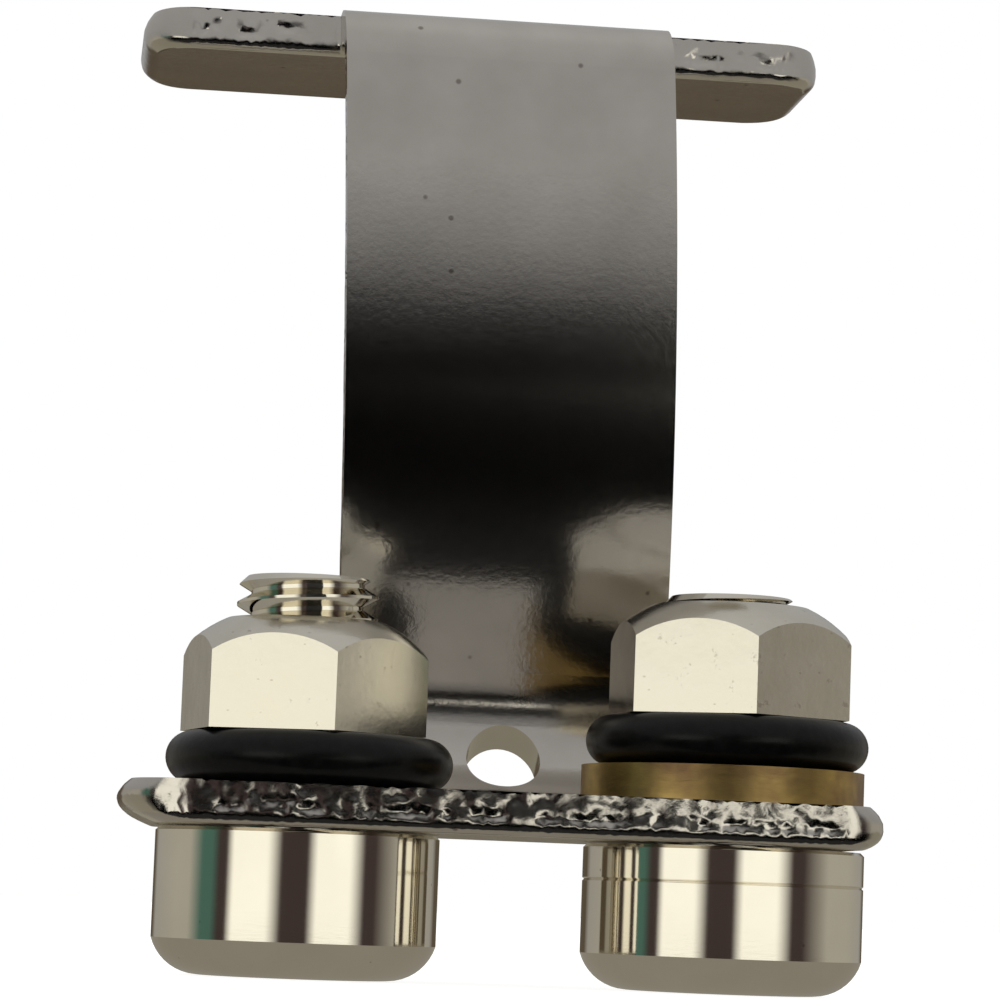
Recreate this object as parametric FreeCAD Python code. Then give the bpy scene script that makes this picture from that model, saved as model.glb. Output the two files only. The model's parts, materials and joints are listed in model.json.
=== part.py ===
"""Saxophone ligature: a bent sheet-metal strap with two clamping screws.

The strap is one stamping. A flat screw bar lies in front, a curved web rises behind it, and a
flat top plate turns back from the web. Two smooth-headed screws come up through the screw bar.
Each carries an elastic ring and a hex nut, and the right one also a brass spacer.

Millimetres. X runs along the two bars, -Y is the front, +Z is up. The model is built about the
middle of the two screws, then moved so that the origin is at the middle of its footprint.
"""
import FreeCAD, Part
import os
from math import cos, radians, sin, sqrt

Vector = FreeCAD.Vector
X_AXIS = Vector(1, 0, 0)
Z_AXIS = Vector(0, 0, 1)

# ---- driving dimensions -------------------------------------------------------------------
# sheet and flat bars
sheet = 1.5                # thickness of the stamping
roll_over = 0.4            # rounding that the punch leaves on the under side
bar_length = 26.5          # screw bar, along X
bar_depth = 10.3           # screw bar, along Y
bar_overhang = 5.3         # screw axes to the bar's front edge
bar_shift = -0.7           # middle of the bar from the middle of the screws
bar_left_corner = 2.5      # outer corner radii of the screw bar
bar_right_corner = 1.6
top_length = 26.2          # top plate, along X
top_depth = 8.3            # top plate, along Y
top_shift = -1.1           # middle of the top plate from the middle of the screws
top_corner = 2.0           # outer corner radius of the top plate
top_gap = 0.8              # end of the top bend to the wings' front edge

# curved web
web_width = 12.4           # width of the strap between the bars
web_lean = -0.04           # sideways lean of the web, X per Z
web_radius = 45.0          # outside radius of the bulging web
web_crown_height = 22.9    # screw bar's upper face to the web's foremost line
strap_height = 29.6        # screw bar's upper face to the top plate's upper face
foot_bend_radius = 3.5     # inside radius of the bend above the screw bar
top_bend_radius = 0.7      # inside radius of the bend under the top plate
foot_gap = 0.15            # spacer's rim to the start of the foot bend
bend_hole = 2.8            # hole through the foot bend
bend_hole_turn = 57.0      # degrees of bend between the bar and the hole

# screws
screw_spacing = 15.2
thread_major = 5.0
thread_pitch = 0.8
thread_height = 0.6134     # depth of the thread, per pitch
thread_crest = 0.125       # width of the flat crest, per pitch
thread_clearance = 0.06    # gap between screw and nut threads
shank_clearance = 0.1      # screw hole larger than the shank, on the radius
shank_length = 7.4         # screw bar's upper face to the screw's end
end_chamfer = 0.35
head_diameter = 10.0
head_height = 5.1
head_gap = 0.05            # head to the under side of the screw bar
head_edge = 0.12           # bevel on the head's upper edge
head_round_height = 1.25   # rounded lower end of the head
head_round_width = 1.6
head_round_belly = (0.36, 0.31)   # the round's middle point: inwards and up, per its size
witness_height = 3.85      # turned line round the right head
witness_size = 0.06

# nuts
nut_flats = 7.8
nut_height = 4.0
nut_land = 0.3             # flat round the thread on top of the nut
nut_shoulder = 1.4         # nut's top to the lowest point of its crown
nut_gap = 0.03             # elastic ring to the nut
left_nut_turn = -19.5      # degrees from +X to a corner
right_nut_turn = -27.2

# elastic rings and spacer
left_ring_diameter = 10.15
left_ring_height = 1.85
left_ring_offset = 0.3     # the ring sits a little to one side, inside its clearance
right_ring_diameter = 10.1
right_ring_height = 1.80
ring_bulge_share = 0.47     # most of the ring's wall that one round side may take
ring_clearance = 0.6       # elastic rings' bore larger than the shank, on the radius
spacer_diameter = 10.1
spacer_clearance = 0.25    # spacer's bore larger than the shank, on the radius
spacer_height = 1.25
spacer_offset = -0.12      # the spacer hangs a little to one side on its screw

# ---- worked-out places --------------------------------------------------------------------
bar_top = head_height + head_gap + sheet
bar_under = bar_top - sheet
plate_top = bar_top + strap_height
screw_left = -screw_spacing / 2
screw_right = screw_spacing / 2
shank_end = bar_top + shank_length
thread_depth = thread_height * thread_pitch
thread_start = bar_top + spacer_height
nut_crown = thread_major + 2 * nut_land
ring_bore = thread_major + 2 * ring_clearance
spacer_bore = thread_major + 2 * spacer_clearance
bar_front = -bar_overhang
bar_back = bar_front + bar_depth
crown_height = bar_top + web_crown_height
left_nut_floor = bar_top + left_ring_height + nut_gap
right_nut_floor = bar_top + spacer_height + right_ring_height + nut_gap

# centres of the web's three arcs in the YZ plane; front faces touch tangentially
foot_bend_start = max(spacer_diameter, right_ring_diameter) / 2 + foot_gap
foot_centre = Vector(0, foot_bend_start, bar_top + foot_bend_radius)
web_reach = web_radius + foot_bend_radius
web_rise = crown_height - foot_centre.z
web_centre = Vector(0, foot_centre.y + sqrt(web_reach**2 - web_rise**2), crown_height)
top_outer = top_bend_radius + sheet
top_drop = plate_top - top_outer - crown_height
top_reach = web_radius - top_outer
top_centre = Vector(0, web_centre.y - sqrt(top_reach**2 - top_drop**2), plate_top - top_outer)
top_front = top_centre.y + top_gap
top_back = top_front + top_depth

# the origin is the middle of the footprint
left_edge = min(bar_shift - bar_length / 2, top_shift - top_length / 2)
right_edge = max(bar_shift + bar_length / 2, top_shift + top_length / 2)
to_origin = Vector(-(left_edge + right_edge) / 2, -(bar_front + top_back) / 2, 0)


def unit(vector):
    return vector * (1 / vector.Length)


def arc_between(centre, radius, start, end):
    """Arc in the YZ plane round centre, through the middle direction of start and end."""
    middle = unit(unit(start) + unit(end))
    points = [centre + unit(v) * radius for v in (start, middle, end)]
    return Part.Arc(*points).toShape()


def line(start, end):
    return Part.LineSegment(start, end).toShape()


def ring_solid(outline, place):
    """Turn a closed outline, drawn in the XZ plane, about the Z axis and put it at place."""
    solid = Part.Face(Part.Wire(outline)).revolve(Vector(), Z_AXIS, 360)
    return solid.translated(place)


# ---- strap --------------------------------------------------------------------------------
def web_x(height):
    """Middle of the leaning web at a height."""
    return web_lean * (height - (bar_top + plate_top) / 2)


def web_ends(offset):
    """Both ends of the section, a little way into the bars, at an offset behind the front face."""
    bar_lap = foot_bend_start - bar_back + sheet
    top_lap = top_gap + sheet
    low = Vector(0, foot_centre.y - bar_lap, bar_top - offset)
    high = Vector(0, top_centre.y + top_lap, plate_top - offset)
    return low, high


def web_side(offset):
    """One long side of the section: three tangent arcs between two flats."""
    low, high = web_ends(offset)
    down = Vector(0, 0, -1)
    to_web = web_centre - foot_centre
    to_top = top_centre - web_centre
    return [
        line(low, Vector(0, foot_centre.y, low.z)),
        arc_between(foot_centre, foot_bend_radius + offset, down, to_web),
        arc_between(web_centre, web_radius - offset, to_web * -1, to_top),
        arc_between(top_centre, top_outer - offset, to_top, Z_AXIS),
        line(Vector(0, top_centre.y, high.z), high),
    ]


def web():
    """Curved web, cut to its leaning width."""
    ends = [line(front, back) for front, back in zip(web_ends(0), web_ends(sheet))]
    outline = Part.__sortEdges__(web_side(0) + web_side(sheet) + ends)
    reach = bar_length
    section = Part.Face(Part.Wire(outline)).translated(X_AXIS * -reach)
    slab = section.extrude(X_AXIS * 2 * reach)
    low = bar_under - sheet
    high = plate_top + sheet
    half = web_width / 2
    corners = [
        Vector(web_x(low) - half, -reach, low),
        Vector(web_x(low) + half, -reach, low),
        Vector(web_x(high) + half, -reach, high),
        Vector(web_x(high) - half, -reach, high),
    ]
    strip = Part.Face(Part.makePolygon(corners + corners[:1])).extrude(Vector(0, 4 * reach, 0))
    return slab.common(strip)


def bar(middle, length, front, back, top, radii):
    """Flat bar with rounded corners; radii go front-left, front-right, back-right, back-left."""
    box = Part.makeBox(length, back - front, sheet, Vector(middle - length / 2, front, top - sheet))
    ends = [
        (middle - length / 2, front),
        (middle + length / 2, front),
        (middle + length / 2, back),
        (middle - length / 2, back),
    ]
    for (x, y), radius in zip(ends, radii):
        corner = [e for e in box.Edges if is_upright_at(e, x, y)]
        box = box.makeFillet(radius, corner)
    return box


def is_upright_at(edge, x, y):
    points = [vertex.Point for vertex in edge.Vertexes]
    return len(points) == 2 and all(abs(p.x - x) < 1e-6 and abs(p.y - y) < 1e-6 for p in points)


def under_edges(shape):
    """Edges between the rolled-over side of the sheet and its cut edges, away from the holes."""
    faces_of = {}
    for face in shape.Faces:
        for edge in face.Edges:
            faces_of.setdefault(edge.hashCode(), [edge, []])[1].append(face)
    chosen = []
    for edge, faces in faces_of.values():
        if len(faces) == 2 and sum(is_under_face(f) for f in faces) == 1:
            chosen.append(edge)
    return chosen


def is_under_face(face):
    """True on the side of the sheet that faces down under the bars and back behind the web."""
    surface = face.Surface
    if isinstance(surface, Part.Plane):
        height = face.CenterOfGravity.z
        flat = abs(abs(surface.Axis.z) - 1) < 1e-6
        return flat and min(abs(height - bar_under), abs(height - plate_top + sheet)) < 1e-4
    if isinstance(surface, Part.Cylinder) and abs(abs(surface.Axis.x) - 1) < 1e-6:
        unders = (foot_bend_radius + sheet, web_radius - sheet, top_outer - sheet)
        return min(abs(surface.Radius - radius) for radius in unders) < 1e-4
    return False


def bend_hole_cutter():
    """Round cutter through the foot bend, square to the sheet, on the web's middle line."""
    turn = radians(bend_hole_turn)
    outward = Vector(0, sin(turn), -cos(turn))
    height = foot_centre.z + outward.z * foot_bend_radius
    start = foot_centre + outward * (foot_bend_radius - sheet) + X_AXIS * web_x(height)
    return Part.makeCylinder(bend_hole / 2, 3 * sheet, start, outward)


def strap():
    screw_bar = bar(
        bar_shift, bar_length, bar_front, bar_back, bar_top,
        (bar_left_corner, bar_right_corner, bar_right_corner, bar_right_corner),
    )
    top_plate = bar(top_shift, top_length, top_front, top_back, plate_top, (top_corner,) * 4)
    body = screw_bar.fuse([web(), top_plate]).removeSplitter()
    body = body.makeFillet(roll_over, under_edges(body))
    hole_radius = thread_major / 2 + shank_clearance
    for x in (screw_left, screw_right):
        body = body.cut(Part.makeCylinder(hole_radius, 3 * sheet, Vector(x, 0, bar_under - sheet)))
    return body.cut(bend_hole_cutter())


# ---- threads ------------------------------------------------------------------------------
def thread_rod(radius, crest, low, high):
    """Rod from low to high with a right-hand groove; crest is its flat's share of the pitch.

    Every rod starts its helix on the same line, so that a screw and its nut are in phase.
    """
    depth = thread_depth
    turns_below = int((low - bar_top) / thread_pitch) - 1
    start = bar_top + turns_below * thread_pitch
    height = high - start + 2 * thread_pitch
    half = thread_pitch * (1 - crest) / 2
    # flanks slope at 30 degrees; the cutter stands a little proud of the rod
    proud = 0.06 * thread_pitch
    outside = radius + proud
    mouth = half + proud / sqrt(3)
    root = radius - depth
    root_half = half - depth / sqrt(3)
    corners = [
        Vector(outside, 0, start - mouth),
        Vector(root, 0, start - root_half),
        Vector(root, 0, start + root_half),
        Vector(outside, 0, start + mouth),
    ]
    spine = Part.makeLongHelix(thread_pitch, height, radius, 0).translated(Vector(0, 0, start))
    pipe = Part.BRepOffsetAPI.MakePipeShell(Part.Wire(spine))
    pipe.setFrenetMode(True)
    pipe.add(Part.makePolygon(corners + corners[:1]))
    pipe.build()
    pipe.makeSolid()
    rod = Part.makeCylinder(radius, high - low, Vector(0, 0, low))
    return rod.cut(pipe.shape())


# ---- screws -------------------------------------------------------------------------------
def head_outline(with_line):
    """Half outline of the head: bevelled top edge, straight side, rounded lower end."""
    radius = head_diameter / 2
    foot = radius - head_round_width
    inwards, up = head_round_belly
    belly = Vector(radius - inwards * head_round_width, 0, up * head_round_height)
    side_low = Vector(radius, 0, head_round_height)
    side_high = Vector(radius, 0, head_height - head_edge)
    rim = Vector(radius - head_edge, 0, head_height)
    edges = [
        line(Vector(), Vector(foot, 0, 0)),
        Part.Arc(Vector(foot, 0, 0), belly, side_low).toShape(),
    ]
    if with_line:
        below = Vector(radius, 0, witness_height - witness_size)
        inside = Vector(radius - witness_size, 0, witness_height)
        above = Vector(radius, 0, witness_height + witness_size)
        corners = [side_low, below, inside, above, side_high]
        edges += [line(*pair) for pair in zip(corners, corners[1:])]
    else:
        edges.append(line(side_low, side_high))
    middle = Vector(0, 0, head_height)
    return edges + [line(side_high, rim), line(rim, middle), line(middle, Vector())]


def screw(x, with_line):
    """One turned screw: smooth head below the bar, plain shank through it, thread above."""
    shank_radius = thread_major / 2
    thread = thread_rod(shank_radius, thread_crest, thread_start, shank_end)
    tip = Part.makeCone(
        shank_radius, shank_radius - end_chamfer, end_chamfer, Vector(0, 0, shank_end - end_chamfer),
    )
    straight = shank_end - end_chamfer - thread_start
    below_tip = Part.makeCylinder(shank_radius, straight, Vector(0, 0, thread_start))
    thread = thread.common(below_tip.fuse(tip))
    plain = Part.makeCylinder(shank_radius, thread_start - head_height, Vector(0, 0, head_height))
    head = ring_solid(head_outline(with_line), Vector())
    return head.fuse([plain, thread]).removeSplitter().translated(Vector(x, 0, 0))


# ---- nuts ---------------------------------------------------------------------------------
def nut(x, floor, turn):
    """Hex nut with a rounded crown on top and a thread that matches the screw's."""
    corner = nut_flats / sqrt(3)
    points = []
    for step in range(7):
        angle = radians(turn + 60 * step)
        points.append(Vector(corner * cos(angle), corner * sin(angle), floor))
    prism = Part.Face(Part.makePolygon(points)).extrude(Vector(0, 0, nut_height))
    top = floor + nut_height
    crown = nut_crown / 2
    rim = corner + thread_clearance
    # the crown falls half of its depth by the middle of each flat
    middle = Vector(nut_flats / 2, 0, top - nut_shoulder / 2)
    outline = [
        line(Vector(0, 0, floor), Vector(rim, 0, floor)),
        line(Vector(rim, 0, floor), Vector(rim, 0, top - nut_shoulder)),
        Part.Arc(Vector(rim, 0, top - nut_shoulder), middle, Vector(crown, 0, top)).toShape(),
        line(Vector(crown, 0, top), Vector(0, 0, top)),
        line(Vector(0, 0, top), Vector(0, 0, floor)),
    ]
    body = prism.common(ring_solid(outline, Vector()))
    bore_radius = thread_major / 2 + thread_clearance
    # a wider crest on the tap leaves the nut a thinner ridge than the screw's groove
    tap_crest = thread_crest + 2 * thread_clearance / thread_pitch
    tap = thread_rod(bore_radius, tap_crest, floor - thread_pitch, top + thread_pitch)
    return body.cut(tap).translated(Vector(x, 0, 0))


# ---- rings and spacer ---------------------------------------------------------------------
def elastic_ring(x, floor, diameter, height):
    """Elastic ring pressed flat where it touches, with round sides."""
    inner = ring_bore / 2
    outer = diameter / 2
    bulge = min(height / 2, ring_bulge_share * (outer - inner))
    centre = floor + height / 2
    low_in = Vector(inner + bulge, 0, floor)
    low_out = Vector(outer - bulge, 0, floor)
    high_in = low_in + Z_AXIS * height
    high_out = low_out + Z_AXIS * height
    outline = [
        line(low_in, low_out),
        Part.Arc(low_out, Vector(outer, 0, centre), high_out).toShape(),
        line(high_out, high_in),
        Part.Arc(high_in, Vector(inner, 0, centre), low_in).toShape(),
    ]
    return ring_solid(outline, Vector(x, 0, 0))


def spacer():
    place = Vector(screw_right + spacer_offset, 0, bar_top)
    disc = Part.makeCylinder(spacer_diameter / 2, spacer_height, place)
    return disc.cut(Part.makeCylinder(spacer_bore / 2, spacer_height, place))


def parts():
    """Every piece by its node name, still about the middle of the screws."""
    return {
        "strap": strap(),
        "left_screw": screw(screw_left, False),
        "right_screw": screw(screw_right, True),
        "left_elastic_ring": elastic_ring(
            screw_left + left_ring_offset, bar_top, left_ring_diameter, left_ring_height,
        ),
        "right_elastic_ring": elastic_ring(
            screw_right, bar_top + spacer_height, right_ring_diameter, right_ring_height,
        ),
        "right_brass_spacer": spacer(),
        "left_hex_nut": nut(screw_left, left_nut_floor, left_nut_turn),
        "right_hex_nut": nut(screw_right, right_nut_floor, right_nut_turn),
    }


os.makedirs("parts", exist_ok=True)
for name, shape in parts().items():
    moved = shape.translated(to_origin)
    moved.exportStep("parts/" + name + ".step")
    print(name, "solids", len(moved.Solids), "valid", moved.isValid(), "volume", round(moved.Volume, 3))
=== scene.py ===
"""Saxophone ligature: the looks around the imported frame.

A bent nickel-plated strap with raw sheared edges, two polished screws, hex nuts, black elastic
rings and a tarnished brass spacer, on a pale floor in a light tent. Metres, in the row frame.
"""
import json
from math import cos, pi, radians, sin

import bmesh
import bpy
from mathutils import Matrix, Vector, noise
from mathutils.bvhtree import BVHTree


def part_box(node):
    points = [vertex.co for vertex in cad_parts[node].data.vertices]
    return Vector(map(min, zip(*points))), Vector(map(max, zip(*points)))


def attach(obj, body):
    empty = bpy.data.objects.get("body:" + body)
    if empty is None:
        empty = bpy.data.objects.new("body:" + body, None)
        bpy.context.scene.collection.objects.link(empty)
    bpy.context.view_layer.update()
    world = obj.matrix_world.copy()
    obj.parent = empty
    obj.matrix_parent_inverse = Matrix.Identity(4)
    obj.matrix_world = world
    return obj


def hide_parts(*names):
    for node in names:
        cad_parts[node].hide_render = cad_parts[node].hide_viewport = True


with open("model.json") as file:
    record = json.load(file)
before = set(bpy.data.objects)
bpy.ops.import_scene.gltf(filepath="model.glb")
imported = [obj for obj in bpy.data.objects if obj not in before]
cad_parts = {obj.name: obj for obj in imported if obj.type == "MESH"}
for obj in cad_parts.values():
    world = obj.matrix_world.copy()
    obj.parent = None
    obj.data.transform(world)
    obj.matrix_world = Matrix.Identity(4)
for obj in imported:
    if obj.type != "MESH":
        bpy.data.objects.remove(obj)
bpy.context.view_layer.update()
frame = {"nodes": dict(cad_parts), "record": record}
MM = 0.001


# ---- places, all from the frame -----------------------------------------------------------
strap_low, strap_high = (Vector(c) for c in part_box("strap"))
mounts = {mount["name"]: mount for mount in frame["record"]["mounts"]}
left_axis = Vector(mounts["left_foot"]["pos_m"])
right_axis = Vector(mounts["right_foot"]["pos_m"])
bend_hole = Vector(mounts["bend_hole"]["pos_m"])
hole_radius = mounts["bend_hole"]["dims"]["r_mm"] * MM
sheet = mounts["bend_hole"]["dims"]["length_mm"] * MM
middle = (left_axis + right_axis) / 2


# ---- camera -------------------------------------------------------------------------------
def add_camera():
    """Close and almost level with the screw heads, looking slightly up."""
    turn = radians(-6.489)
    tilt = radians(-6.089)
    roll = radians(2.179)
    distance = 0.141
    aim = middle + Vector((-0.55, 3.0, 17.51)) * MM
    forward = Vector((-sin(turn) * cos(tilt), cos(turn) * cos(tilt), -sin(tilt)))
    level = forward.cross(Vector((0, 0, 1))).normalized()
    upright = level.cross(forward)
    right = level * cos(roll) + upright * sin(roll)
    up = upright * cos(roll) - level * sin(roll)
    data = bpy.data.cameras.new("camera")
    data.sensor_width = 36
    data.lens = 138.96
    data.clip_start = 0.005
    data.clip_end = 20
    camera = bpy.data.objects.new("camera", data)
    axes = Matrix((right, up, -forward)).transposed().to_4x4()
    camera.matrix_world = Matrix.Translation(aim - forward * distance) @ axes
    bpy.context.scene.collection.objects.link(camera)
    bpy.context.scene.camera = camera


# ---- node helpers -------------------------------------------------------------------------
class Nodes:
    """Short calls for building the nodes of one material, or of the world."""

    def __init__(self, owner):
        owner.use_nodes = True
        self.tree = owner.node_tree
        self.tree.nodes.clear()

    def put(self, value, socket):
        if isinstance(value, bpy.types.NodeSocket):
            self.tree.links.new(value, socket)
        else:
            socket.default_value = value

    def add(self, kind, inputs=(), **settings):
        node = self.tree.nodes.new(kind)
        for key, value in settings.items():
            setattr(node, key, value)
        for key, value in dict(inputs).items():
            self.put(value, node.inputs[key])
        return node

    def math(self, operation, *values):
        node = self.add("ShaderNodeMath", operation=operation)
        for socket, value in zip(node.inputs, values):
            self.put(value, socket)
        return node.outputs[0]

    def mix(self, factor, a, b):
        node = self.add("ShaderNodeMix", data_type="RGBA")
        self.put(factor, node.inputs[0])
        self.put(a, node.inputs[6])
        self.put(b, node.inputs[7])
        return node.outputs[2]

    def blend_value(self, factor, a, b):
        node = self.add("ShaderNodeMix", data_type="FLOAT")
        self.put(factor, node.inputs[0])
        self.put(a, node.inputs[2])
        self.put(b, node.inputs[3])
        return node.outputs[0]

    def ramp(self, factor, stops):
        """Colour by factor; a stop is a place and a colour, or a place and a grey."""
        node = self.add("ShaderNodeValToRGB", {"Fac": factor})
        ramp = node.color_ramp
        for index, (place, colour) in enumerate(stops):
            if not isinstance(colour, tuple):
                colour = (colour, colour, colour)
            stop = ramp.elements[index] if index < 2 else ramp.elements.new(place)
            stop.position = place
            stop.color = (*colour, 1)
        return node.outputs["Color"]

    def step(self, value, low, high):
        """0 below low, 1 above high, smooth between; low may be above high."""
        inputs = {"Value": value, "From Min": low, "From Max": high}
        return self.add("ShaderNodeMapRange", inputs, interpolation_type="SMOOTHSTEP").outputs[0]

    def place(self, scale=(1, 1, 1)):
        """Object coordinates in millimetres, stretched by scale."""
        coordinates = self.add("ShaderNodeTexCoord").outputs["Object"]
        stretch = tuple(1000 * s for s in scale)
        return self.add("ShaderNodeMapping", {"Vector": coordinates, "Scale": stretch}).outputs[0]

    def noise(self, vector, size, detail, roughness):
        """Noise with features about size millimetres wide."""
        inputs = {"Vector": vector, "Scale": 0.5 / size, "Detail": detail, "Roughness": roughness}
        return self.add("ShaderNodeTexNoise", inputs).outputs["Fac"]

    def cells(self, vector, size):
        """Distance from the nearest of scattered points about size millimetres apart."""
        inputs = {"Vector": vector, "Scale": 1 / size}
        return self.add("ShaderNodeTexVoronoi", inputs).outputs["Distance"]

    def bump(self, height, depth):
        """Relief of depth millimetres; depth is a number or a socket."""
        if isinstance(depth, bpy.types.NodeSocket):
            depth = self.math("MULTIPLY", depth, MM)
        else:
            depth *= MM
        inputs = {"Height": height, "Distance": depth, "Strength": 1.0}
        return self.add("ShaderNodeBump", inputs).outputs[0]

    def finish(self, shader, output="ShaderNodeOutputMaterial"):
        self.tree.links.new(shader.outputs[0], self.add(output).inputs["Surface"])

    def finish_light(self, colour):
        self.finish(self.add("ShaderNodeEmission", {"Color": colour, "Strength": 1.0}))

    def finish_metal(self, colour, rough, relief, metallic=1.0):
        self.finish(self.add("ShaderNodeBsdfPrincipled", {
            "Base Color": colour, "Metallic": metallic, "Roughness": rough, "Normal": relief}))


def new_material(name):
    material = bpy.data.materials.new(name)
    return material, Nodes(material)


# ---- the light tent and the floor ---------------------------------------------------------
tent_radius = 0.145
tent_centre = middle + Vector((0, 0, 10)) * MM

grey_wall = (0.34, 0.325, 0.295)
pale_wall = (0.42, 0.40, 0.345)
panel = (1.22, 1.20, 1.08)
dark_gap = (0.055, 0.040, 0.038)
green_gap = (0.070, 0.150, 0.120)
rear_gap = (0.10, 0.08, 0.055)
low_rear = (0.30, 0.28, 0.22, 1)

# what the metal sees round the horizon: degrees from -Y towards +X, and its colour
horizon = [
    (-180, rear_gap), (-160, rear_gap), (-150, grey_wall), (-112, pale_wall), (-97, pale_wall),
    (-84, green_gap), (-75, green_gap), (-68, dark_gap), (-62, dark_gap), (-56, panel),
    (-29, panel), (-18, dark_gap), (2, dark_gap), (10, panel), (37, panel), (50, dark_gap),
    (60, dark_gap), (85, pale_wall), (110, pale_wall), (140, grey_wall), (150, rear_gap),
    (180, rear_gap),
]

# where one part of the tent fades into the next, in tent radii from its centre
front_fade = (-0.1, 0.35)          # forwards: the rear half ends, the front half begins
top_fade = (0.08, 0.26)            # upwards: the panels end, the even grey begins
bottom_fade = (-0.07, -0.12)       # downwards: the panels end, the lower tent begins
rear_bottom_fade = (-0.04, -0.08)  # the same at the rear

floor_size = 6
floor_drop = 0.00003               # keeps the floor clear of the screws' faces


def glossy_only(obj, material):
    """A studio piece that only shows in the metal."""
    material.cycles.emission_sampling = "NONE"
    obj.data.materials.append(material)
    obj.visible_camera = False
    obj.visible_diffuse = False
    obj.visible_transmission = False
    obj.visible_shadow = False


def add_tent():
    """The studio that shows in the metal: two tall light panels with dark gaps in a grey tent."""
    bpy.ops.mesh.primitive_uv_sphere_add(segments=64, ring_count=32, radius=tent_radius)
    tent = bpy.context.object
    tent.name = "tent"
    tent.location = tent_centre
    material, n = new_material("tent")
    split = n.add("ShaderNodeSeparateXYZ", {0: n.add("ShaderNodeTexCoord").outputs["Object"]})
    x, y, z = split.outputs
    azimuth = n.math("ARCTAN2", x, n.math("MULTIPLY", y, -1.0))
    round_share = n.math("MULTIPLY_ADD", azimuth, 0.5 / pi, 0.5)
    band = n.ramp(round_share, [((angle + 180) / 360, colour) for angle, colour in horizon])
    level = n.math("DIVIDE", z, tent_radius)
    front = n.math("DIVIDE", y, -tent_radius)
    front_share = n.step(front, *front_fade)
    # above the panels the tent is an even grey
    upper_back = n.ramp(level, [(0.0, 0.30), (0.35, 0.38), (0.75, 0.42), (1.0, 0.50)])
    upper_front = n.ramp(level, [(0.0, 0.30), (0.30, 0.39), (0.60, 0.40), (1.0, 0.46)])
    upper = n.mix(front_share, upper_back, upper_front)
    above = n.mix(n.step(level, *top_fade), band, upper)
    # below them the front falls off to nearly black, and the rear to an olive grey
    low_front = n.ramp(n.math("MULTIPLY", level, -1.0),
                       [(0.08, 0.02), (0.15, 0.001), (0.35, 0.001), (0.60, 0.024)])
    low_back = n.mix(n.step(level, *rear_bottom_fade), band, low_rear)
    lower = n.mix(front_share, low_back, low_front)
    n.finish_light(n.mix(n.step(level, *bottom_fade), above, lower))
    glossy_only(tent, material)


def add_far_card():
    """Upright card in front, pale above and black below, which the web reflects."""
    low = Vector((-16, -70, 8))
    high = Vector((26, -70, 50))
    shades = [(12, 0.001), (20, 0.03), (32, 0.25), (48, 0.42)]   # height in mm, and grey
    size = (high - low) * MM
    centre = middle + (high + low) / 2 * MM
    bpy.ops.mesh.primitive_plane_add(size=1, location=centre, rotation=(pi / 2, 0, 0))
    card = bpy.context.object
    card.name = "far_card"
    card.scale = (size.x, size.z, 1)
    material, n = new_material("far_card")
    split = n.add("ShaderNodeSeparateXYZ", {0: n.add("ShaderNodeTexCoord").outputs["Generated"]})
    span = high.z - low.z
    n.finish_light(n.ramp(split.outputs[1], [((height - low.z) / span, grey)
                                             for height, grey in shades]))
    glossy_only(card, material)


def add_floor():
    """Pale floor, which the camera sees as almost white."""
    bpy.ops.mesh.primitive_plane_add(size=floor_size, location=(0, 0, -floor_drop))
    floor = bpy.context.object
    floor.name = "floor"
    material, n = new_material("floor")
    diffuse = n.add("ShaderNodeBsdfDiffuse", {"Color": (0.45, 0.45, 0.445, 1)})
    glow = n.add("ShaderNodeEmission", {"Color": (1, 1, 1, 1), "Strength": 0.88})
    camera_ray = n.add("ShaderNodeLightPath").outputs["Is Camera Ray"]
    dark = n.add("ShaderNodeEmission", {"Color": (0, 0, 0, 1), "Strength": 0.0})
    shown = n.add("ShaderNodeMixShader", {0: camera_ray, 1: dark.outputs[0], 2: glow.outputs[0]})
    n.finish(n.add("ShaderNodeAddShader", {0: diffuse.outputs[0], 1: shown.outputs[0]}))
    floor.data.materials.append(material)
    floor.visible_glossy = False


def add_foot_card():
    """Glowing grey card on the floor under the screws, seen only in the metal: a painted reflection
    of the floor's shade, which gives the heads' lower edges their grey.
    """
    bpy.ops.mesh.primitive_plane_add(size=1, location=middle + Vector((0, 2, -0.01)) * MM)
    card = bpy.context.object
    card.name = "foot_card"
    card.scale = (36 * MM, 17 * MM, 1)
    material, n = new_material("foot_card")
    # flat grey glow: painted reflection of the shaded floor under the heads
    n.finish_light((0.27, 0.25, 0.21, 1))
    glossy_only(card, material)


def add_world():
    """Even light from all round; the camera sees it as white."""
    world = bpy.data.worlds.new("world")
    bpy.context.scene.world = world
    n = Nodes(world)
    fill = n.add("ShaderNodeBackground", {"Color": (1, 0.99, 0.97, 1), "Strength": 0.75})
    white = n.add("ShaderNodeBackground", {"Color": (1, 1, 1, 1), "Strength": 1.0})
    camera_ray = n.add("ShaderNodeLightPath").outputs["Is Camera Ray"]
    shown = n.add("ShaderNodeMixShader", {0: camera_ray, 1: fill.outputs[0], 2: white.outputs[0]})
    n.finish(shown, "ShaderNodeOutputWorld")


# ---- materials ----------------------------------------------------------------------------
def sheet_material():
    """Satin nickel plate: fine speckle and a few brown pits."""
    material, n = new_material("satin_nickel")
    at = n.place()
    grain = n.noise(at, 0.12, 3, 0.6)
    mottle = n.noise(at, 1.6, 3, 0.55)
    pits = n.step(n.cells(at, 1.9), 0.075, 0.03)
    tone = n.ramp(mottle, [(0.3, (0.60, 0.57, 0.52)), (0.7, (0.69, 0.65, 0.60))])
    colour = n.mix(n.math("MULTIPLY", pits, 0.65), tone, (0.17, 0.13, 0.11, 1))
    n.finish_metal(colour, n.blend_value(grain, 0.10, 0.18), n.bump(grain, 0.0045))
    return material


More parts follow.
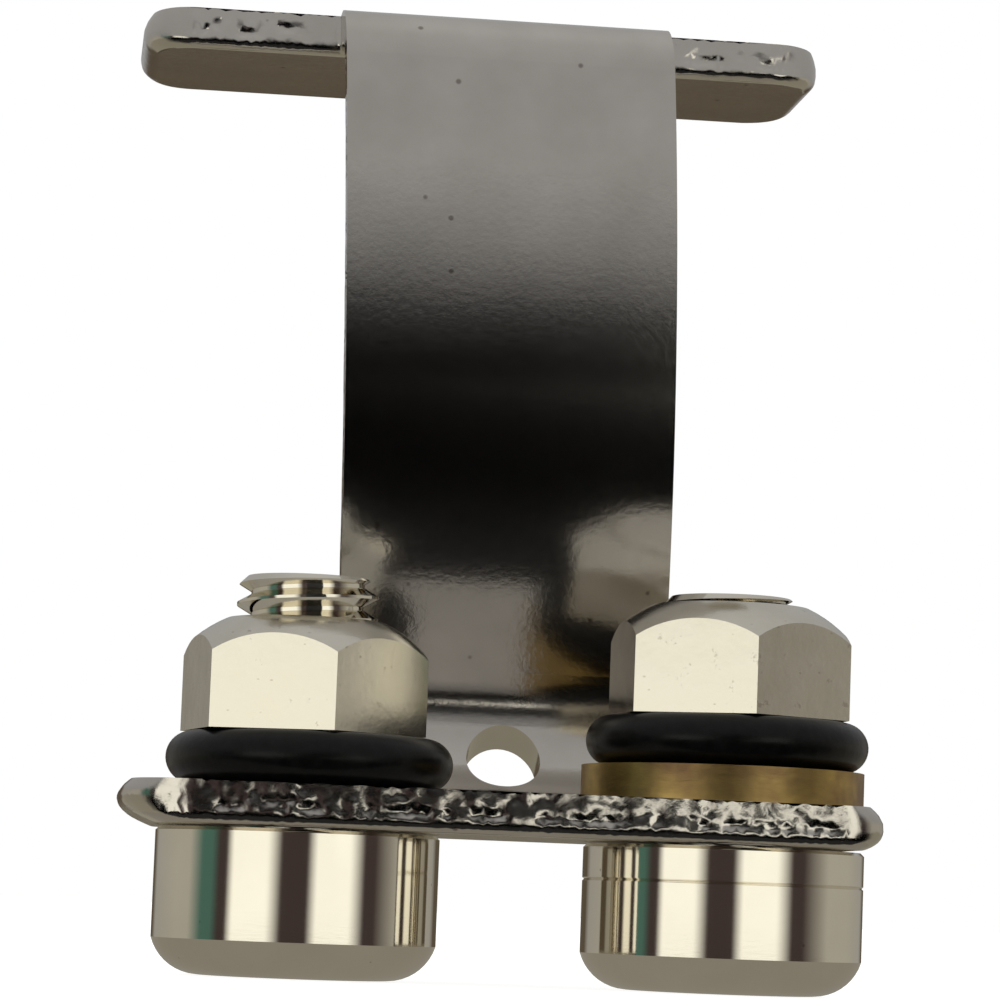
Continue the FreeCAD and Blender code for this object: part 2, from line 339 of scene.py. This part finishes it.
def shear_material():
    """Cut edges of the sheet: torn, glittering metal in front and a burnished lip behind."""
    material, n = new_material("sheared_edge")
    at = n.place()
    torn = n.add("ShaderNodeAttribute", attribute_name="tear").outputs["Fac"]
    grain = n.noise(at, 0.09, 4, 0.7)
    patches = n.noise(at, 0.5, 2, 0.5)
    raw = n.ramp(grain, [(0.34, (0.24, 0.21, 0.18)), (0.48, (0.78, 0.75, 0.66))])
    plate = n.ramp(patches, [(0.3, (0.72, 0.69, 0.63)), (0.7, (0.80, 0.76, 0.70))])
    raw_rough = n.blend_value(patches, 0.12, 0.34)
    rough = n.blend_value(torn, n.blend_value(patches, 0.20, 0.30), raw_rough)
    relief = n.bump(grain, n.blend_value(torn, 0.004, 0.022))
    metallic = n.blend_value(torn, 1.0, 0.15)
    n.finish_metal(n.mix(torn, plate, raw), rough, relief, metallic)
    return material


def head_material():
    """Polished nickel with fine turned lines and a few pits."""
    material, n = new_material("polished_nickel")
    turned = n.noise(n.place((0.15, 0.15, 1.0)), 0.05, 3, 0.6)
    at = n.place()
    mottle = n.noise(at, 1.2, 3, 0.5)
    pits = n.step(n.cells(at, 1.3), 0.06, 0.02)
    tone = n.ramp(mottle, [(0.3, (0.78, 0.74, 0.65)), (0.7, (0.83, 0.79, 0.70))])
    colour = n.mix(n.math("MULTIPLY", pits, 0.5), tone, (0.25, 0.20, 0.16, 1))
    n.finish_metal(colour, n.blend_value(mottle, 0.05, 0.09), n.bump(turned, 0.0008))
    return material


def nut_material():
    """Plated nut: slightly matt and uneven, with dark pits and stains."""
    material, n = new_material("nut_nickel")
    at = n.place()
    mottle = n.noise(at, 0.7, 4, 0.6)
    pits = n.step(n.cells(n.place((1, 1, 1.6)), 0.75), 0.11, 0.03)
    stain = n.step(n.noise(at, 0.35, 4, 0.7), 0.62, 0.70)
    tone = n.ramp(mottle, [(0.3, (0.76, 0.72, 0.62)), (0.7, (0.82, 0.78, 0.69))])
    dirt = n.math("MULTIPLY", n.math("MAXIMUM", pits, stain), 0.4)
    colour = n.mix(dirt, tone, (0.35, 0.29, 0.22, 1))
    n.finish_metal(colour, n.blend_value(mottle, 0.14, 0.24), n.bump(mottle, 0.012))
    return material


def rubber_material():
    """Smooth black rubber with a faint skin."""
    material, n = new_material("black_rubber")
    skin = n.noise(n.place(), 0.25, 3, 0.6)
    tone = n.ramp(skin, [(0.3, 0.002), (0.7, 0.006)])
    n.finish(n.add("ShaderNodeBsdfPrincipled", {
        "Base Color": tone, "Roughness": n.blend_value(skin, 0.24, 0.36),
        "Specular IOR Level": 0.22, "Normal": n.bump(skin, 0.012)}))
    return material


def brass_material():
    """Tarnished brass, golden where it is rubbed and brown elsewhere."""
    material, n = new_material("aged_brass")
    tarnish = n.noise(n.place(), 2.4, 4, 0.6)
    grain = n.noise(n.place((0.3, 0.3, 1.0)), 0.15, 3, 0.6)
    tone = n.ramp(tarnish, [(0.40, (0.74, 0.52, 0.17)), (0.58, (0.30, 0.18, 0.09))])
    colour = n.mix(n.math("MULTIPLY", grain, 0.5), tone, (0.20, 0.14, 0.08, 1))
    n.finish_metal(colour, n.blend_value(tarnish, 0.28, 0.46), n.bump(grain, 0.012))
    return material


def dress(node, material):
    """Give a carried-over CAD node its material."""
    obj = frame["nodes"][node]
    obj.data.materials.clear()
    obj.data.materials.append(material)


# ---- strap with its sheared edges ---------------------------------------------------------
edge_grain = 0.20 * MM         # size of the small faces that carry the torn surface
torn_share = 0.60              # torn part of the sheet's thickness, from the front face
flat_reach = 1.01 * sheet      # how far the bar and the top plate reach in from the box
bar_depth = 10.2 * MM          # from the box's front to where the web leaves the bar
web_half = 6.1 * MM
web_shift = 0.3 * MM           # the web's middle lies this far left of the screws' middle
screw_hole_reach = 2.9 * MM    # the walls of the screw holes lie inside this radius
end_reach = 3.0 * MM           # length of bar end that the end rounding bends
end_corner = 0.33              # depth at which the left bar end reaches furthest out


def smooth(value, low, high):
    """0 below low, 1 above high, smooth between; low may be above high."""
    share = min(max((value - low) / (high - low), 0.0), 1.0)
    return share * share * (3 - 2 * share)


def in_bar(point):
    return point.z < strap_low.z + flat_reach


def in_plate(point):
    return point.z > strap_high.z - flat_reach


def near_hole(point):
    """True on the walls of the screw holes and of the hole in the bend."""
    for axis in (left_axis, right_axis):
        beside = (point - axis).to_2d().length
        if beside < screw_hole_reach and point.z < strap_low.z + 2 * sheet:
            return True
    along = Vector(mounts["bend_hole"]["axis"])
    across = point - bend_hole
    across -= along * across.dot(along)
    return across.length < hole_radius + 0.15 * MM and point.z < strap_low.z + 5 * sheet


def is_edge_face(face):
    """True on the sheet's cut walls and on the rounding under them."""
    point = face.calc_center_median()
    normal = face.normal
    if near_hole(point):
        return False
    beside_web = abs(point.x - middle.x + web_shift) < web_half
    if in_bar(point):
        on_web = beside_web and point.y > strap_low.y + bar_depth
    else:
        on_web = beside_web and point.y < strap_high.y - 1 * MM
    if (in_bar(point) or in_plate(point)) and not on_web:
        return abs(normal.z) < 0.97
    return abs(normal.x) > 0.08


def end_inset(point):
    """How far the rounding of a bar's or the plate's end pulls a point inwards, along X."""
    left = point.x - strap_low.x
    right = strap_high.x - point.x
    if not (in_bar(point) or in_plate(point)) or min(left, right) > end_reach:
        return 0.0
    top = strap_low.z + sheet if in_bar(point) else strap_high.z
    depth = min(max((top - point.z) / sheet, 0.0), 1.0)
    if in_plate(point):
        pull = 0.30 * abs(2 * depth - 1) ** 2
    elif left < right:
        above = 0.44 * max(1 - depth / end_corner, 0) ** 2
        below = 1.45 * max((depth - end_corner) / (1 - end_corner), 0) ** 2.2
        pull = above + below
    else:
        pull = 0.50 * abs(2 * depth - 1) ** 2.2
    away = 1 - min(left, right) / end_reach
    return (1 if left < right else -1) * pull * MM * away ** 2


def torn_depth(point, run, depth, blocky):
    """How far the torn surface lies below the cut wall, in metres.

    run is the way along the edge in millimetres, depth the share of the sheet's thickness behind
    its front face, and blocky the share of the flat, stepped tiles.
    """
    here = point / MM
    grain = noise.fractal(here / 0.30, 1.0, 2.0, 3)
    upper = noise.cell(Vector((run / 0.42, depth * 3.4, 1.7)))
    lower = noise.cell(Vector((run / 1.25 + 0.3 * noise.noise(here), 0.0, 5.1)))
    chips = 0.5 + 0.5 * noise.noise(Vector((run / 0.17, depth * 6, 9.3)))
    rough = 0.02 + 0.015 * grain + 0.035 * chips
    tiles = 0.02 + 0.05 * upper if depth < 0.48 else 0.015 + 0.09 * lower
    torn = rough + tiles * blocky
    pit_line = torn_share + 0.06 * noise.noise(Vector((run / 1.1, 2.0, 3.0)))
    pit = smooth(noise.noise(Vector((run / 0.20, 4.0, 6.0))), -0.05, 0.35)
    torn += 0.10 * pit * max(1 - abs(depth - pit_line) / 0.13, 0)
    lip = 0.015 + 0.02 * noise.noise(here / 2.2)
    return max(torn + (lip - torn) * smooth(depth, pit_line, pit_line + 0.14), 0.0) * MM


def is_long(edge, cut, wall_tree):
    """True where an edge is too long: fine on the cut walls, coarser away from them."""
    length = edge.calc_length()
    if length < edge_grain * 1.45:
        return False
    if any(face[cut] for face in edge.link_faces):
        return True
    middle_point = (edge.verts[0].co + edge.verts[1].co) / 2
    return length > 1.0 * MM + 1.2 * wall_tree.find_nearest(middle_point)[3]


def refine(shape, cut, wall_tree):
    """Split long edges, and join what came out closer than needed inside the cut walls."""
    most_rounds = 14
    for _ in range(most_rounds):
        long_edges = [edge for edge in shape.edges if is_long(edge, cut, wall_tree)]
        if not long_edges:
            break
        bmesh.ops.subdivide_edges(shape, edges=long_edges, cuts=1, use_grid_fill=True)
        bmesh.ops.triangulate(shape, faces=[f for f in shape.faces if len(f.verts) > 3])
    inner = [v for v in shape.verts if all(face[cut] for face in v.link_faces)]
    bmesh.ops.remove_doubles(shape, verts=inner, dist=edge_grain * 0.55)
    shape.normal_update()


def wall_direction(vertex, cut):
    """Way out of the cut walls at a vertex, or None away from them; level on bar and plate."""
    walls = [face for face in vertex.link_faces if face[cut]]
    if not walls:
        return None
    outward = sum((face.normal * face.calc_area() for face in walls), Vector()).normalized()
    if in_bar(vertex.co) or in_plate(vertex.co):
        outward.z = 0
        if outward.length < 0.05:
            return None
        outward.normalize()
    return outward


def way_along(point, outward):
    """The way along the cut edge, in millimetres; the ends are shifted to tear differently."""
    if not (in_bar(point) or in_plate(point)):
        return point.z / MM
    return (point.x if abs(outward.y) > 0.7 else point.y + 0.1) / MM


def tear_share(point):
    """Share of the tearing: none at the ends of bar and plate, nor where the web joins the plate."""
    if not (in_bar(point) or in_plate(point)):
        return 1.0
    share = smooth(min(point.x - strap_low.x, strap_high.x - point.x) / MM, 0.9, 2.2)
    if in_plate(point) and point.y < strap_high.y - 2 * MM:
        share *= smooth(abs(point.x - middle.x + 1.2 * MM) / MM, 6.4, 7.6)
    return share


def tear_edges(shape, cut, front_tree):
    """Tear the cut walls and round the ends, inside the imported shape's box."""
    tear = shape.verts.layers.float.new("tear")
    moves = {}
    for vertex in shape.verts:
        outward = wall_direction(vertex, cut)
        if outward is None:
            continue
        depth = min(front_tree.find_nearest(vertex.co)[3] / sheet, 1.0)
        share = tear_share(vertex.co)
        blocky = 1.0 if in_plate(vertex.co) else 0.35
        torn = torn_depth(vertex.co, way_along(vertex.co, outward), depth, blocky)
        moves[vertex] = -outward * torn * share
        vertex[tear] = share * (1 - smooth(depth, torn_share - 0.03, torn_share + 0.08))
    for vertex in shape.verts:
        inset = end_inset(vertex.co)
        vertex.co += moves.get(vertex, Vector()) + Vector((inset, 0, 0))
        vertex.co.y = min(max(vertex.co.y, strap_low.y), strap_high.y)
    shape.normal_update()


def add_strap():
    """The strap as packed, with finely torn and pitted cut edges and rounded bar ends."""
    source = frame["nodes"]["strap"].data
    flat_normals = [tuple(corner.vector) for corner in source.corner_normals]
    corners = [[source.vertices[i].co.copy() for i in face.vertices] for face in source.polygons]
    starts = [face.loop_start for face in source.polygons]
    shape = bmesh.new()
    shape.from_mesh(source)
    shape.faces.ensure_lookup_table()
    origin = shape.faces.layers.int.new("origin")
    cut = shape.faces.layers.int.new("cut")
    front = []
    for face in shape.faces:
        face[origin] = face.index
        face[cut] = 1 if is_edge_face(face) else 0
        if not face[cut] and face.normal.z - face.normal.y > 0:
            front.append([v.index for v in face.verts])
    walls = [[v.index for v in face.verts] for face in shape.faces if face[cut]]
    places = [v.co.copy() for v in shape.verts]
    front_tree = BVHTree.FromPolygons(places, front)
    wall_tree = BVHTree.FromPolygons(places, walls)
    refine(shape, cut, wall_tree)
    tear_edges(shape, cut, front_tree)
    mesh = bpy.data.meshes.new("strap_sheet")
    shape.to_mesh(mesh)
    shape.free()
    set_normals(mesh, corners, flat_normals, starts)
    strap = bpy.data.objects.new("strap_sheet", mesh)
    bpy.context.scene.collection.objects.link(strap)
    mesh.materials.clear()
    mesh.materials.append(sheet_material())
    mesh.materials.append(shear_material())
    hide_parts("strap")
    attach(strap, "strap")


def set_normals(mesh, corners, flat_normals, starts):
    """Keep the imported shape's own shading on the sheet's faces, and shade the cut edges by form."""
    cut = [item.value for item in mesh.attributes["cut"].data]
    origin = [item.value for item in mesh.attributes["origin"].data]
    formed = [Vector() for _ in mesh.vertices]
    for face in mesh.polygons:
        face.use_smooth = True
        face.material_index = cut[face.index]
        if cut[face.index]:
            for index in face.vertices:
                formed[index] += face.normal * face.area
    normals = []
    for face in mesh.polygons:
        if cut[face.index]:
            normals += [formed[index].normalized() for index in face.vertices]
            continue
        a, b, c = corners[origin[face.index]]
        start = starts[origin[face.index]]
        side, other = b - a, c - a
        across = side.cross(other)
        size = across.length_squared
        for index in face.vertices:
            point = mesh.vertices[index].co - a
            v = point.cross(other).dot(across) / size
            w = side.cross(point).dot(across) / size
            blend = [Vector(flat_normals[start + k]) * share
                     for k, share in enumerate((1 - v - w, v, w))]
            normals.append((blend[0] + blend[1] + blend[2]).normalized())
    mesh.normals_split_custom_set(normals)


# ---- the scene ----------------------------------------------------------------------------
bpy.context.scene.view_settings.view_transform = "Standard"
add_camera()
add_world()
add_tent()
add_floor()
add_foot_card()
add_far_card()
heads = head_material()
nuts = nut_material()
rubber = rubber_material()
add_strap()
for side in ("left", "right"):
    dress(f"{side}_screw", heads)
    dress(f"{side}_hex_nut", nuts)
    dress(f"{side}_elastic_ring", rubber)
dress("right_brass_spacer", brass_material())
